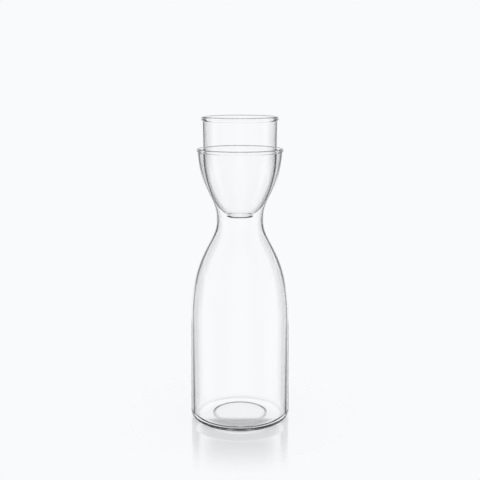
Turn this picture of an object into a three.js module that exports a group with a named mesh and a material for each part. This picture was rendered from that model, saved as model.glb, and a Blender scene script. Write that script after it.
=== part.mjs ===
import * as THREE from 'three';

// A clear glass carafe with a round-bottomed tumbler standing in its mouth.
// Millimetres, +Z up, the table at z = 0, both vessels round about the Z axis.

// Carafe, outside
const BODY_RADIUS = 44.2; // just above the heel
const HEEL_RADIUS = 6; // rounding between the foot and the wall
const SHOULDER_RADIUS = 43.4; // where the straight wall ends
const SHOULDER_HEIGHT = 88;
const NECK_RADIUS = 20.4;
const NECK_HEIGHT = 178;
const MOUTH_RADIUS = 36.6; // under the lip
const MOUTH_HEIGHT = 238.6;
const MOUTH_LEAN = 0.08; // outward lean of the wall under the lip, across per up

// Share of the height of each carafe curve over which an end keeps its direction
const SHOULDER_FULLNESS = 0.69;
const UNDER_NECK_FULLNESS = 0.22;
const OVER_NECK_FULLNESS = 0.36;
const MOUTH_FULLNESS = 0.64;

// Carafe, glass thickness and base
const HEEL_WALL = 3; // just above the heel
const SHOULDER_WALL = 1.8; // where the straight wall ends
const MOUTH_WALL = 1.6; // from the neck up
const CARAFE_LIP_OVERHANG = 0.85; // bead past the wall on each side
const CARAFE_FLOOR = 3.2; // height of the inner floor over the table
const INNER_HEEL_RADIUS = 4.5; // rounding between the inner floor and the wall
const PUNT_RADIUS = 24.5; // shallow flat recess under the base
const PUNT_DEPTH = 0.4;
const PUNT_EDGE_RADIUS = 12; // rounding inside the edge of the recess

// Tumbler, heights over its own foot
const FOOT_RADIUS = 11.5;
const FOOT_HEIGHT = 1; // where the bowl leaves the foot
const FOOT_EDGE_RADIUS = 0.5;
const BOWL_RADIUS = 31.6;
const BOWL_DEPTH = 55.8; // upright half-axis of the elliptical bowl
const RIM_RADIUS = 32.1; // under the lip
const RIM_HEIGHT = 82.4;
const TUMBLER_WALL = 1.3;
const TUMBLER_LIP_OVERHANG = 1.35;
const TUMBLER_FLOOR = 1.6;

const SEAT_GAP = 0.3; // across, between the bowl and the mouth it rests in

// Fineness of the round shapes
const SEGMENTS = 48;
const CURVE_STEPS = 12;
const ARC_STEPS = 5;
const LIP_STEPS = 10;

const point = (across, up) => new THREE.Vector2(across, up);

// Points of an arc or elliptical arc, without its first point.
function arc(centre, radiusAcross, radiusUp, start, end, steps) {
  const clockwise = end < start;
  const curve = new THREE.EllipseCurve(
    centre.x, centre.y, radiusAcross, radiusUp, start, end, clockwise,
  );
  return curve.getPoints(steps).slice(1);
}

// Points on the axis side of a curve that runs upward, with the wall given at its two ends.
function inside(curve, lowWall, highWall) {
  return Array.from({ length: CURVE_STEPS + 1 }, (_, i) => {
    const share = i / CURVE_STEPS;
    const tangent = curve.getTangent(share);
    const inward = point(-tangent.y, tangent.x);
    const wall = lowWall + share * (highWall - lowWall);
    return curve.getPoint(share).addScaledVector(inward, wall);
  });
}

// Bead over the end of a wall, from its outer edge round to just before its inner edge.
function lip(outer, inner, overhang) {
  const middle = outer.clone().add(inner).divideScalar(2);
  const half = outer.clone().sub(middle);
  const radius = half.length() + overhang;
  const along = point(-half.y, half.x).normalize();
  const centre = middle.addScaledVector(along, Math.sqrt(radius ** 2 - half.lengthSq()));
  const start = Math.atan2(outer.y - centre.y, outer.x - centre.x);
  const sweep = 2 * (Math.PI - Math.asin(half.length() / radius));
  return arc(centre, radius, radius, start, start + sweep, LIP_STEPS).slice(0, -1);
}

// Outline of the carafe: outer run from the underside to the lip, inner run from the floor up.
function carafeOutline() {
  const shoulderRise = NECK_HEIGHT - SHOULDER_HEIGHT;
  const shoulder = new THREE.CubicBezierCurve(
    point(SHOULDER_RADIUS, SHOULDER_HEIGHT),
    point(SHOULDER_RADIUS, SHOULDER_HEIGHT + SHOULDER_FULLNESS * shoulderRise),
    point(NECK_RADIUS, NECK_HEIGHT - UNDER_NECK_FULLNESS * shoulderRise),
    point(NECK_RADIUS, NECK_HEIGHT),
  );
  const mouthRise = MOUTH_HEIGHT - NECK_HEIGHT;
  const mouthReach = MOUTH_FULLNESS * mouthRise;
  const mouth = new THREE.CubicBezierCurve(
    point(NECK_RADIUS, NECK_HEIGHT),
    point(NECK_RADIUS, NECK_HEIGHT + OVER_NECK_FULLNESS * mouthRise),
    point(MOUTH_RADIUS - MOUTH_LEAN * mouthReach, MOUTH_HEIGHT - mouthReach),
    point(MOUTH_RADIUS, MOUTH_HEIGHT),
  );
  const puntTurn = Math.acos(1 - PUNT_DEPTH / PUNT_EDGE_RADIUS);
  const puntEdge = point(
    PUNT_RADIUS - PUNT_EDGE_RADIUS * Math.sin(puntTurn),
    PUNT_DEPTH - PUNT_EDGE_RADIUS,
  );
  const heelCentre = point(BODY_RADIUS - HEEL_RADIUS, HEEL_RADIUS);
  const outer = [
    point(0, PUNT_DEPTH),
    point(puntEdge.x, PUNT_DEPTH),
    ...arc(
      puntEdge, PUNT_EDGE_RADIUS, PUNT_EDGE_RADIUS,
      Math.PI / 2, Math.PI / 2 - puntTurn, ARC_STEPS,
    ),
    point(heelCentre.x, 0),
    ...arc(heelCentre, HEEL_RADIUS, HEEL_RADIUS, -Math.PI / 2, 0, ARC_STEPS),
    ...shoulder.getPoints(CURVE_STEPS),
    ...mouth.getPoints(CURVE_STEPS).slice(1),
  ];
  const innerHeelCentre = point(
    BODY_RADIUS - HEEL_WALL - INNER_HEEL_RADIUS,
    CARAFE_FLOOR + INNER_HEEL_RADIUS,
  );
  const inner = [
    point(0, CARAFE_FLOOR),
    point(innerHeelCentre.x, CARAFE_FLOOR),
    ...arc(innerHeelCentre, INNER_HEEL_RADIUS, INNER_HEEL_RADIUS, -Math.PI / 2, 0, ARC_STEPS),
    ...inside(shoulder, SHOULDER_WALL, MOUTH_WALL),
    ...inside(mouth, MOUTH_WALL, MOUTH_WALL).slice(1),
  ];
  return { outer, inner };
}

// Outline of the tumbler over its own foot, as two runs like those of the carafe.
function tumblerOutline() {
  const bowlCentre = point(
    0,
    FOOT_HEIGHT + BOWL_DEPTH * Math.sqrt(1 - (FOOT_RADIUS / BOWL_RADIUS) ** 2),
  );
  const leaveFoot = -Math.acos(FOOT_RADIUS / BOWL_RADIUS);
  const footEdge = point(FOOT_RADIUS - FOOT_EDGE_RADIUS, FOOT_EDGE_RADIUS);
  const outer = [
    point(0, 0),
    point(footEdge.x, 0),
    ...arc(footEdge, FOOT_EDGE_RADIUS, FOOT_EDGE_RADIUS, -Math.PI / 2, 0, ARC_STEPS),
    point(FOOT_RADIUS, FOOT_HEIGHT),
    ...arc(bowlCentre, BOWL_RADIUS, BOWL_DEPTH, leaveFoot, 0, CURVE_STEPS),
    point(RIM_RADIUS, RIM_HEIGHT),
  ];
  const innerRadius = BOWL_RADIUS - TUMBLER_WALL;
  const innerDepth = BOWL_DEPTH - TUMBLER_WALL;
  const leaveFloor = -Math.asin((bowlCentre.y - TUMBLER_FLOOR) / innerDepth);
  const inner = [
    point(0, TUMBLER_FLOOR),
    point(innerRadius * Math.cos(leaveFloor), TUMBLER_FLOOR),
    ...arc(bowlCentre, innerRadius, innerDepth, leaveFloor, 0, CURVE_STEPS),
    point(RIM_RADIUS - TUMBLER_WALL, RIM_HEIGHT),
  ];
  return { outer, inner };
}

// Radius of a run of points at a height, or nothing above and below the run.
function radiusAt(run, height) {
  const next = run.findIndex((p, i) => i > 0 && run[i - 1].y <= height && height <= p.y);
  if (next < 0) {
    return undefined;
  }
  const low = run[next - 1];
  const high = run[next];
  const share = high.y > low.y ? (height - low.y) / (high.y - low.y) : 1;
  return low.x + share * (high.x - low.x);
}

// Least room across between a bowl raised by a lift and the mouth round it.
function roomAcross(bowl, mouth, lift) {
  const raised = bowl.map((p) => point(p.x, p.y + lift));
  const heights = [...raised, ...mouth].map((p) => p.y);
  const rooms = heights
    .map((height) => radiusAt(mouth, height) - radiusAt(raised, height))
    .filter((room) => !Number.isNaN(room));
  return Math.min(...rooms);
}

// Lowest lift at which the bowl keeps its gap to the mouth, by halving.
function seatHeight(bowl, mouth) {
  let low = NECK_HEIGHT - BOWL_DEPTH;
  let high = MOUTH_HEIGHT;
  while (high - low > 0.001) {
    const middle = (low + high) / 2;
    if (roomAcross(bowl, mouth, middle) < SEAT_GAP) {
      low = middle;
    } else {
      high = middle;
    }
  }
  return high;
}

function vessel(name, outline, overhang, lift) {
  const { outer, inner } = outline;
  const bead = lip(outer.at(-1), inner.at(-1), overhang);
  const profile = [...outer, ...bead, ...inner.toReversed()];
  const geometry = new THREE.LatheGeometry(profile, SEGMENTS);
  geometry.rotateX(Math.PI / 2);
  geometry.translate(0, 0, lift);
  const glass = new THREE.MeshStandardMaterial({
    color: '#e9eef0', roughness: 0.05, transparent: true, opacity: 0.35,
  });
  const mesh = new THREE.Mesh(geometry, glass);
  mesh.name = name;
  return mesh;
}

const carafe = carafeOutline();
const tumbler = tumblerOutline();
const seat = seatHeight(tumbler.outer, carafe.inner);

const group = new THREE.Group();
group.name = 'glass_carafe_with_tumbler';
group.add(vessel('carafe', carafe, CARAFE_LIP_OVERHANG, 0));
group.add(vessel('tumbler', tumbler, TUMBLER_LIP_OVERHANG, seat));

export default group;
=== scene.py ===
"""Looks of a clear glass carafe with a round-bottomed tumbler standing in its mouth."""
import math

import bpy
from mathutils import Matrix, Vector


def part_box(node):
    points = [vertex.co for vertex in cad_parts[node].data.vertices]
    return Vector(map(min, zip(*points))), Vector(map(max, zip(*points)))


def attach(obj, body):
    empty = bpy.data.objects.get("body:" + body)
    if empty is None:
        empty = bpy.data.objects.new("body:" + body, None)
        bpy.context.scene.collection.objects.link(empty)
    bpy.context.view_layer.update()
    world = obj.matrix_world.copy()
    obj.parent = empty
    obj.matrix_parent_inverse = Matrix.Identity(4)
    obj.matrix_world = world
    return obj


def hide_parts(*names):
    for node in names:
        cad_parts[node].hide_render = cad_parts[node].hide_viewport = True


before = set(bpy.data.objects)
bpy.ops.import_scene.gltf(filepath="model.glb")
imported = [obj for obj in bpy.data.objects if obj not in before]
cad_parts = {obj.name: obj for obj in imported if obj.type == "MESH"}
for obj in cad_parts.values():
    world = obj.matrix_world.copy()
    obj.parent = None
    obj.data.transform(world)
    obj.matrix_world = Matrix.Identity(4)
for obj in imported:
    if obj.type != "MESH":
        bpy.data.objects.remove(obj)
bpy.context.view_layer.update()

MM = 0.001

# Carafe, outside, in metres
BODY_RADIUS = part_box("carafe")[1].x
HEEL_RADIUS = 6 * MM
SHOULDER_RADIUS = 43.4 * MM
SHOULDER_HEIGHT = 88 * MM
NECK_RADIUS = 20.4 * MM
NECK_HEIGHT = 178 * MM
MOUTH_RADIUS = 36.6 * MM
MOUTH_HEIGHT = 238.6 * MM
MOUTH_LEAN = 0.08

# Share of the height of each carafe curve over which an end keeps its direction
SHOULDER_FULLNESS = 0.69
UNDER_NECK_FULLNESS = 0.22
OVER_NECK_FULLNESS = 0.36
MOUTH_FULLNESS = 0.64

# Carafe, glass thickness and base
HEEL_WALL = 3 * MM
SHOULDER_WALL = 1.8 * MM
MOUTH_WALL = 1.6 * MM
CARAFE_LIP_OVERHANG = 0.85 * MM
CARAFE_FLOOR = 3.2 * MM
INNER_HEEL_RADIUS = 4.5 * MM
PUNT_RADIUS = 24.5 * MM
PUNT_DEPTH = 0.4 * MM
PUNT_EDGE_RADIUS = 12 * MM

# Tumbler, heights over its own foot
TUMBLER_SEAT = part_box("tumbler")[0].z
FOOT_RADIUS = 11.5 * MM
FOOT_HEIGHT = 1 * MM
FOOT_EDGE_RADIUS = 0.5 * MM
BOWL_RADIUS = 31.6 * MM
BOWL_DEPTH = 55.8 * MM
RIM_RADIUS = 32.1 * MM
RIM_HEIGHT = 82.4 * MM
TUMBLER_WALL = 1.3 * MM
TUMBLER_LIP_OVERHANG = 1.35 * MM
TUMBLER_FLOOR = 1.6 * MM

# Fineness of the round shapes
SEGMENTS = 192
CURVE_STEPS = 64
ARC_STEPS = 24
LIP_STEPS = 48
FLOOR_SEGMENTS = 96

# Shading: least angle of a sharp edge, least upright share of a level face, hold at straight ends
SHARP_ANGLE = math.radians(8.5)
LEVEL_FACE = 0.99999
HOLD = 0.5 * MM

# Camera, in metres, and its lens and sensor in millimetres
CAMERA_DISTANCE = 0.746
CAMERA_HEIGHT = 0.3027
CAMERA_PITCH = math.radians(10.72)
CAMERA_LENS = 64.91
CAMERA_SENSOR = 36

# Glass, clear, with painted shade over the top of each lip that draws a dark rim line
CLEAR = (1, 1, 1, 1)
RIM_PAINTED_SHADE = (0.12, 0.12, 0.125, 1)
RIM_SHADE_DEPTH = 1.2 * MM
GLASS_IOR = 1.5
GLASS_SHEEN = (0.1, 0.1, 0.1, 1)

# Most turns of light through glass and off mirrors
GLASS_BOUNCES = 32
MIRROR_BOUNCES = 16

# Studio
WHITE = (0.947, 0.956, 0.974, 1)
DIM = (0.005, 0.005, 0.006, 1)

# Dim parts of the studio: degrees to the side where each starts and is full
AWAY = (8, 14)
BESIDE = (24, 28)
FRONT = (10, 3)

# Dim parts of the studio: degrees over the horizon where each starts, is full, is still full and ends
STEEP = (5, 10)
LEVEL = (-13, -8, 2, 6)
UPPER = (4, 9)
RISE = (5, 10, 19.8, 20.6)
CREST = (22.25, 22.5)
OVERHEAD = (28, 36)
UNDER = (-50, -60)
UNDER_SHARE = 0.4

# Most passes through the glass of light that still finds the dim rise in front
RISE_PASSES = 5.5

# Floor, with radii where its sheen fades out and where the mirror under the base ends
FLOOR_RADIUS = 0.4
FLOOR_GAP = 0.2 * MM
FLOOR_COLOUR = (0.98, 0.98, 0.98, 1)
FLOOR_ROUGHNESS = 0.06
FLOOR_IOR = 2.5
FLOOR_FADE = (0.05, 0.13)
MIRROR_SHARE = 0.4
MIRROR_EDGE = (0.038, 0.028)
MIRROR_CENTRE = (0, -0.008, 0)


def point(across, up):
    return Vector((across, up))


def arc(centre, radius_across, radius_up, start, end, steps):
    """Points of an arc or elliptical arc, without its first point."""
    angles = [start + (end - start) * i / steps for i in range(1, steps + 1)]
    return [
        centre + point(radius_across * math.cos(a), radius_up * math.sin(a)) for a in angles
    ]


def curve(ends, low_wall=0.0, high_wall=0.0):
    """Points of a cubic curve by four control points, moved towards the axis by a wall."""
    a, b, c, d = ends
    points = []
    for i in range(CURVE_STEPS + 1):
        t = i / CURVE_STEPS
        s = 1 - t
        place = a * s**3 + b * (3 * s * s * t) + c * (3 * s * t * t) + d * t**3
        along = (b - a) * (s * s) + (c - b) * (2 * s * t) + (d - c) * (t * t)
        along.normalize()
        wall = low_wall + t * (high_wall - low_wall)
        points.append(place + point(-along.y, along.x) * wall)
    return points


def lip(outer, inner, overhang):
    """Bead over the end of a wall, from its outer edge round to just before its inner edge."""
    middle = (outer + inner) / 2
    half = outer - middle
    radius = half.length + overhang
    along = point(-half.y, half.x).normalized()
    centre = middle + along * math.sqrt(radius**2 - half.length_squared)
    start = math.atan2(outer.y - centre.y, outer.x - centre.x)
    sweep = 2 * (math.pi - math.asin(half.length / radius))
    return arc(centre, radius, radius, start, start + sweep, LIP_STEPS)[:-1]


def held(start, end):
    """Points near both ends of a straight stretch, between which smooth shading stays straight."""
    step = (end - start).normalized() * HOLD
    return [start + step, end - step]


def carafe_profile():
    """Outline of the carafe, from the middle of its underside over the lip to its inner floor."""
    rise = NECK_HEIGHT - SHOULDER_HEIGHT
    shoulder = [
        point(SHOULDER_RADIUS, SHOULDER_HEIGHT),
        point(SHOULDER_RADIUS, SHOULDER_HEIGHT + SHOULDER_FULLNESS * rise),
        point(NECK_RADIUS, NECK_HEIGHT - UNDER_NECK_FULLNESS * rise),
        point(NECK_RADIUS, NECK_HEIGHT),
    ]
    rise = MOUTH_HEIGHT - NECK_HEIGHT
    reach = MOUTH_FULLNESS * rise
    mouth = [
        point(NECK_RADIUS, NECK_HEIGHT),
        point(NECK_RADIUS, NECK_HEIGHT + OVER_NECK_FULLNESS * rise),
        point(MOUTH_RADIUS - MOUTH_LEAN * reach, MOUTH_HEIGHT - reach),
        point(MOUTH_RADIUS, MOUTH_HEIGHT),
    ]
    turn = math.acos(1 - PUNT_DEPTH / PUNT_EDGE_RADIUS)
    punt_edge = point(
        PUNT_RADIUS - PUNT_EDGE_RADIUS * math.sin(turn), PUNT_DEPTH - PUNT_EDGE_RADIUS
    )
    heel = point(BODY_RADIUS - HEEL_RADIUS, HEEL_RADIUS)
    quarter = math.pi / 2
    outer = [point(0, PUNT_DEPTH), point(punt_edge.x, PUNT_DEPTH)]
    outer += arc(punt_edge, PUNT_EDGE_RADIUS, PUNT_EDGE_RADIUS, quarter, quarter - turn, ARC_STEPS)
    outer += [point(heel.x, 0)]
    outer += arc(heel, HEEL_RADIUS, HEEL_RADIUS, -quarter, 0, ARC_STEPS)
    outer += held(outer[-1], shoulder[0])
    outer += curve(shoulder) + curve(mouth)[1:]
    inner_heel = point(
        BODY_RADIUS - HEEL_WALL - INNER_HEEL_RADIUS, CARAFE_FLOOR + INNER_HEEL_RADIUS
    )
    inner = [point(0, CARAFE_FLOOR), point(inner_heel.x, CARAFE_FLOOR)]
    inner += arc(inner_heel, INNER_HEEL_RADIUS, INNER_HEEL_RADIUS, -quarter, 0, ARC_STEPS)
    inner_shoulder = curve(shoulder, SHOULDER_WALL, MOUTH_WALL)
    inner += held(inner[-1], inner_shoulder[0])
    inner += inner_shoulder + curve(mouth, MOUTH_WALL, MOUTH_WALL)[1:]
    return outer + lip(outer[-1], inner[-1], CARAFE_LIP_OVERHANG) + inner[::-1]


def tumbler_profile():
    """Outline of the tumbler on its seat, from the middle of its foot over the lip to its floor."""
    quarter = math.pi / 2
    centre = point(0, FOOT_HEIGHT + BOWL_DEPTH * math.sqrt(1 - (FOOT_RADIUS / BOWL_RADIUS) ** 2))
    leave_foot = -math.acos(FOOT_RADIUS / BOWL_RADIUS)
    edge = point(FOOT_RADIUS - FOOT_EDGE_RADIUS, FOOT_EDGE_RADIUS)
    outer = [point(0, 0), point(edge.x, 0)]
    outer += arc(edge, FOOT_EDGE_RADIUS, FOOT_EDGE_RADIUS, -quarter, 0, ARC_STEPS)
    outer += [point(FOOT_RADIUS, FOOT_HEIGHT)]
    outer += arc(centre, BOWL_RADIUS, BOWL_DEPTH, leave_foot, 0, CURVE_STEPS)
    rim = point(RIM_RADIUS, RIM_HEIGHT)
    outer += held(outer[-1], rim) + [rim]
    inner_radius = BOWL_RADIUS - TUMBLER_WALL
    inner_depth = BOWL_DEPTH - TUMBLER_WALL
    leave_floor = -math.asin((centre.y - TUMBLER_FLOOR) / inner_depth)
    inner = [point(0, TUMBLER_FLOOR), point(inner_radius * math.cos(leave_floor), TUMBLER_FLOOR)]
    inner += arc(centre, inner_radius, inner_depth, leave_floor, 0, CURVE_STEPS)
    inner_rim = rim - point(TUMBLER_WALL, 0)
    inner += held(inner[-1], inner_rim) + [inner_rim]
    profile = outer + lip(outer[-1], inner[-1], TUMBLER_LIP_OVERHANG) + inner[::-1]
    return [p + point(0, TUMBLER_SEAT) for p in profile]


def turned(name, profile):
    """Closed body turned about Z from a profile that starts and ends on the axis."""
    rings = profile[1:-1]
    turns = [2 * math.pi * i / SEGMENTS for i in range(SEGMENTS)]
    points = [(p.x * math.cos(a), p.x * math.sin(a), p.y) for p in rings for a in turns]
    bottom = len(points)
    top = bottom + 1
    points += [(0, 0, profile[0].y), (0, 0, profile[-1].y)]
    faces = []
    for i in range(SEGMENTS):
        j = (i + 1) % SEGMENTS
        faces.append((bottom, j, i))
        for ring in range(len(rings) - 1):
            low = ring * SEGMENTS
            high = low + SEGMENTS
            faces.append((low + i, low + j, high + j, high + i))
        last = (len(rings) - 1) * SEGMENTS
        faces.append((last + i, last + j, top))
    mesh = bpy.data.meshes.new(name)
    mesh.from_pydata(points, [], faces)
    mesh.shade_smooth()
    mesh.set_sharp_from_angle(angle=SHARP_ANGLE)
    for face in mesh.polygons:
        face.use_smooth = abs(face.normal.z) < LEVEL_FACE
    piece = bpy.data.objects.new(name, mesh)
    bpy.context.scene.collection.objects.link(piece)
    return piece


def glass(name, lip_top):
    """Clear glass whose base colour carries painted shade over the top of its lip, drawing a dark rim
    line.
    """
    material = bpy.data.materials.new(name)
    material.use_nodes = True
    tree = material.node_tree
    shader = tree.nodes["Principled BSDF"]
    place = tree.nodes.new("ShaderNodeTexCoord")
    parts = tree.nodes.new("ShaderNodeSeparateXYZ")
    tree.links.new(place.outputs["Object"], parts.inputs[0])
    # Painted shade: the base colour turns from clear to near black over the top of the lip, so the
    # rim reads as a dark line
    rim_shade = tree.nodes.new("ShaderNodeMix")
    rim_shade.data_type = "RGBA"
    tree.links.new(ramp(tree, parts.outputs["Z"], lip_top - RIM_SHADE_DEPTH, lip_top), rim_shade.inputs["Factor"])
    rim_shade.inputs[6].default_value = CLEAR
    rim_shade.inputs[7].default_value = RIM_PAINTED_SHADE
    tree.links.new(rim_shade.outputs[2], shader.inputs["Base Color"])
    shader.inputs["Roughness"].default_value = 0
    shader.inputs["IOR"].default_value = GLASS_IOR
    shader.inputs["Transmission Weight"].default_value = 1
    shader.inputs["Specular Tint"].default_value = GLASS_SHEEN
    return material


def math_node(tree, operation, *values):
    """Math node whose inputs are numbers or other nodes' sockets; gives its output socket."""
    node = tree.nodes.new("ShaderNodeMath")
    node.operation = operation
    for socket, value in zip(node.inputs, values):
        if isinstance(value, bpy.types.NodeSocket):
            tree.links.new(value, socket)
        else:
            socket.default_value = value
    return node.outputs[0]


def ramp(tree, value, start, end):
    """Smooth step of a socket from 0 at start to 1 at end."""
    node = tree.nodes.new("ShaderNodeMapRange")
    node.interpolation_type = "SMOOTHSTEP"
    tree.links.new(value, node.inputs["Value"])
    node.inputs["From Min"].default_value = start
    node.inputs["From Max"].default_value = end
    return node.outputs["Result"]


def side_ramp(tree, aside, start, end):
    """Smooth step of an angle to the side, between two angles in degrees."""
    return ramp(tree, aside, math.radians(start), math.radians(end))


def height_ramp(tree, height, start, end):
    """Smooth step of the height of a direction, between two angles over the horizon in degrees."""
    return ramp(tree, height, math.sin(math.radians(start)), math.sin(math.radians(end)))


def height_band(tree, height, start, full, still, end):
    """Smooth band of the height of a direction, by angles over the horizon in degrees."""
    rising = height_ramp(tree, height, start, full)
    return math_node(tree, "MULTIPLY", rising, height_ramp(tree, height, end, still))


def dim_parts(tree, aside, height, passes):
    """Strengths of the dim parts of the studio in one direction."""
    away = side_ramp(tree, aside, *AWAY)
    steep = height_ramp(tree, math_node(tree, "ABSOLUTE", height), *STEEP)
    rise = math_node(tree, "LESS_THAN", passes, RISE_PASSES)
    rise = math_node(tree, "MULTIPLY", rise, height_band(tree, height, *RISE))
    above = math_node(tree, "MAXIMUM", rise, height_ramp(tree, height, *CREST))
    return [
        math_node(tree, "MULTIPLY", side_ramp(tree, aside, *BESIDE), steep),
        math_node(tree, "MULTIPLY", away, height_band(tree, height, *LEVEL)),
        math_node(tree, "MULTIPLY", away, height_ramp(tree, height, *UPPER)),
        math_node(tree, "MULTIPLY", side_ramp(tree, aside, *FRONT), above),
        math_node(tree, "MULTIPLY", height_ramp(tree, height, *UNDER), UNDER_SHARE),
        height_ramp(tree, height, *OVERHEAD),
    ]


def studio():
    """White all round; light reflected inside the glass also finds the dim parts of the room."""
    world = bpy.data.worlds.new("studio")
    bpy.context.scene.world = world
    world.use_nodes = True
    tree = world.node_tree
    direction = tree.nodes.new("ShaderNodeTexCoord")
    parts = tree.nodes.new("ShaderNodeSeparateXYZ")
    tree.links.new(direction.outputs["Generated"], parts.inputs[0])
    turn = math_node(tree, "ARCTAN2", parts.outputs["X"], parts.outputs["Y"])
    aside = math_node(tree, "PINGPONG", turn, math.pi / 4)
    path = tree.nodes.new("ShaderNodeLightPath")
    passes = path.outputs["Transmission Depth"]
    dark = 0
    for part in dim_parts(tree, aside, parts.outputs["Z"], passes):
        dark = math_node(tree, "MAXIMUM", dark, part)
    seen = math_node(tree, "LESS_THAN", path.outputs["Diffuse Depth"], 0.5)
    through = math_node(tree, "MINIMUM", seen, passes)
    inside = math_node(tree, "MINIMUM", through, path.outputs["Glossy Depth"])
    mix = tree.nodes.new("ShaderNodeMix")
    mix.data_type = "RGBA"
    tree.links.new(math_node(tree, "MULTIPLY", dark, inside), mix.inputs["Factor"])
    mix.inputs[6].default_value = WHITE
    mix.inputs[7].default_value = DIM
    tree.links.new(mix.outputs[2], tree.nodes["Background"].inputs["Color"])


def floor():
    """Glossy white floor that fades into the white round it; through the glass only a weak mirror."""
    bpy.ops.mesh.primitive_circle_add(vertices=FLOOR_SEGMENTS, radius=FLOOR_RADIUS, fill_type="NGON")
    disc = bpy.context.object
    disc.name = "floor"
    disc.location.z = -FLOOR_GAP
    material = bpy.data.materials.new("floor")
    material.use_nodes = True
    tree = material.node_tree
    shader = tree.nodes["Principled BSDF"]
    shader.inputs["Base Color"].default_value = FLOOR_COLOUR
    shader.inputs["Roughness"].default_value = FLOOR_ROUGHNESS
    shader.inputs["IOR"].default_value = FLOOR_IOR
    place = tree.nodes.new("ShaderNodeTexCoord")
    length = tree.nodes.new("ShaderNodeVectorMath")
    length.operation = "LENGTH"
    tree.links.new(place.outputs["Object"], length.inputs[0])
    fade = ramp(tree, length.outputs["Value"], *FLOOR_FADE)
    path = tree.nodes.new("ShaderNodeLightPath")
    clear = math_node(tree, "MAXIMUM", fade, path.outputs["Transmission Depth"])
    clear = math_node(tree, "MINIMUM", clear, 1)
    gone = tree.nodes.new("ShaderNodeBsdfTransparent")
    mix = tree.nodes.new("ShaderNodeMixShader")
    tree.links.new(clear, mix.inputs["Fac"])
    tree.links.new(shader.outputs["BSDF"], mix.inputs[1])
    tree.links.new(gone.outputs["BSDF"], mix.inputs[2])
    mirror = tree.nodes.new("ShaderNodeBsdfGlossy")
    mirror.inputs["Roughness"].default_value = 0
    through = math_node(tree, "MINIMUM", path.outputs["Transmission Depth"], MIRROR_SHARE)
    distance = tree.nodes.new("ShaderNodeVectorMath")
    distance.operation = "DISTANCE"
    tree.links.new(place.outputs["Object"], distance.inputs[0])
    distance.inputs[1].default_value = MIRROR_CENTRE
    near = ramp(tree, distance.outputs["Value"], *MIRROR_EDGE)
    both = tree.nodes.new("ShaderNodeMixShader")
    tree.links.new(math_node(tree, "MULTIPLY", through, near), both.inputs["Fac"])
    tree.links.new(mix.outputs["Shader"], both.inputs[1])
    tree.links.new(mirror.outputs["BSDF"], both.inputs[2])
    tree.links.new(both.outputs["Shader"], tree.nodes["Material Output"].inputs["Surface"])
    disc.data.materials.append(material)


def camera():
    """Camera a little above the glass, looking down at it."""
    data = bpy.data.cameras.new("camera")
    data.lens = CAMERA_LENS
    data.sensor_width = CAMERA_SENSOR
    view = bpy.data.objects.new("camera", data)
    view.location = (0, -CAMERA_DISTANCE, CAMERA_HEIGHT)
    view.rotation_euler = (math.pi / 2 - CAMERA_PITCH, 0, 0)
    bpy.context.scene.collection.objects.link(view)
    bpy.context.scene.camera = view


def dress(node, profile):
    """Turned glass of one vessel, in place of its plain solid and riding on its body."""
    piece = turned(node + "_glass", profile)
    piece.data.materials.append(glass(node + "_glass", max(p.y for p in profile)))
    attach(piece, node)
    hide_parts(node)


dress("carafe", carafe_profile())
dress("tumbler", tumbler_profile())
studio()
floor()
camera()

scene = bpy.context.scene
scene.view_settings.view_transform = "Standard"
scene.cycles.blur_glossy = 0
scene.cycles.max_bounces = GLASS_BOUNCES
scene.cycles.transmission_bounces = GLASS_BOUNCES
scene.cycles.glossy_bounces = MIRROR_BOUNCES
scene.cycles.transparent_max_bounces = MIRROR_BOUNCES
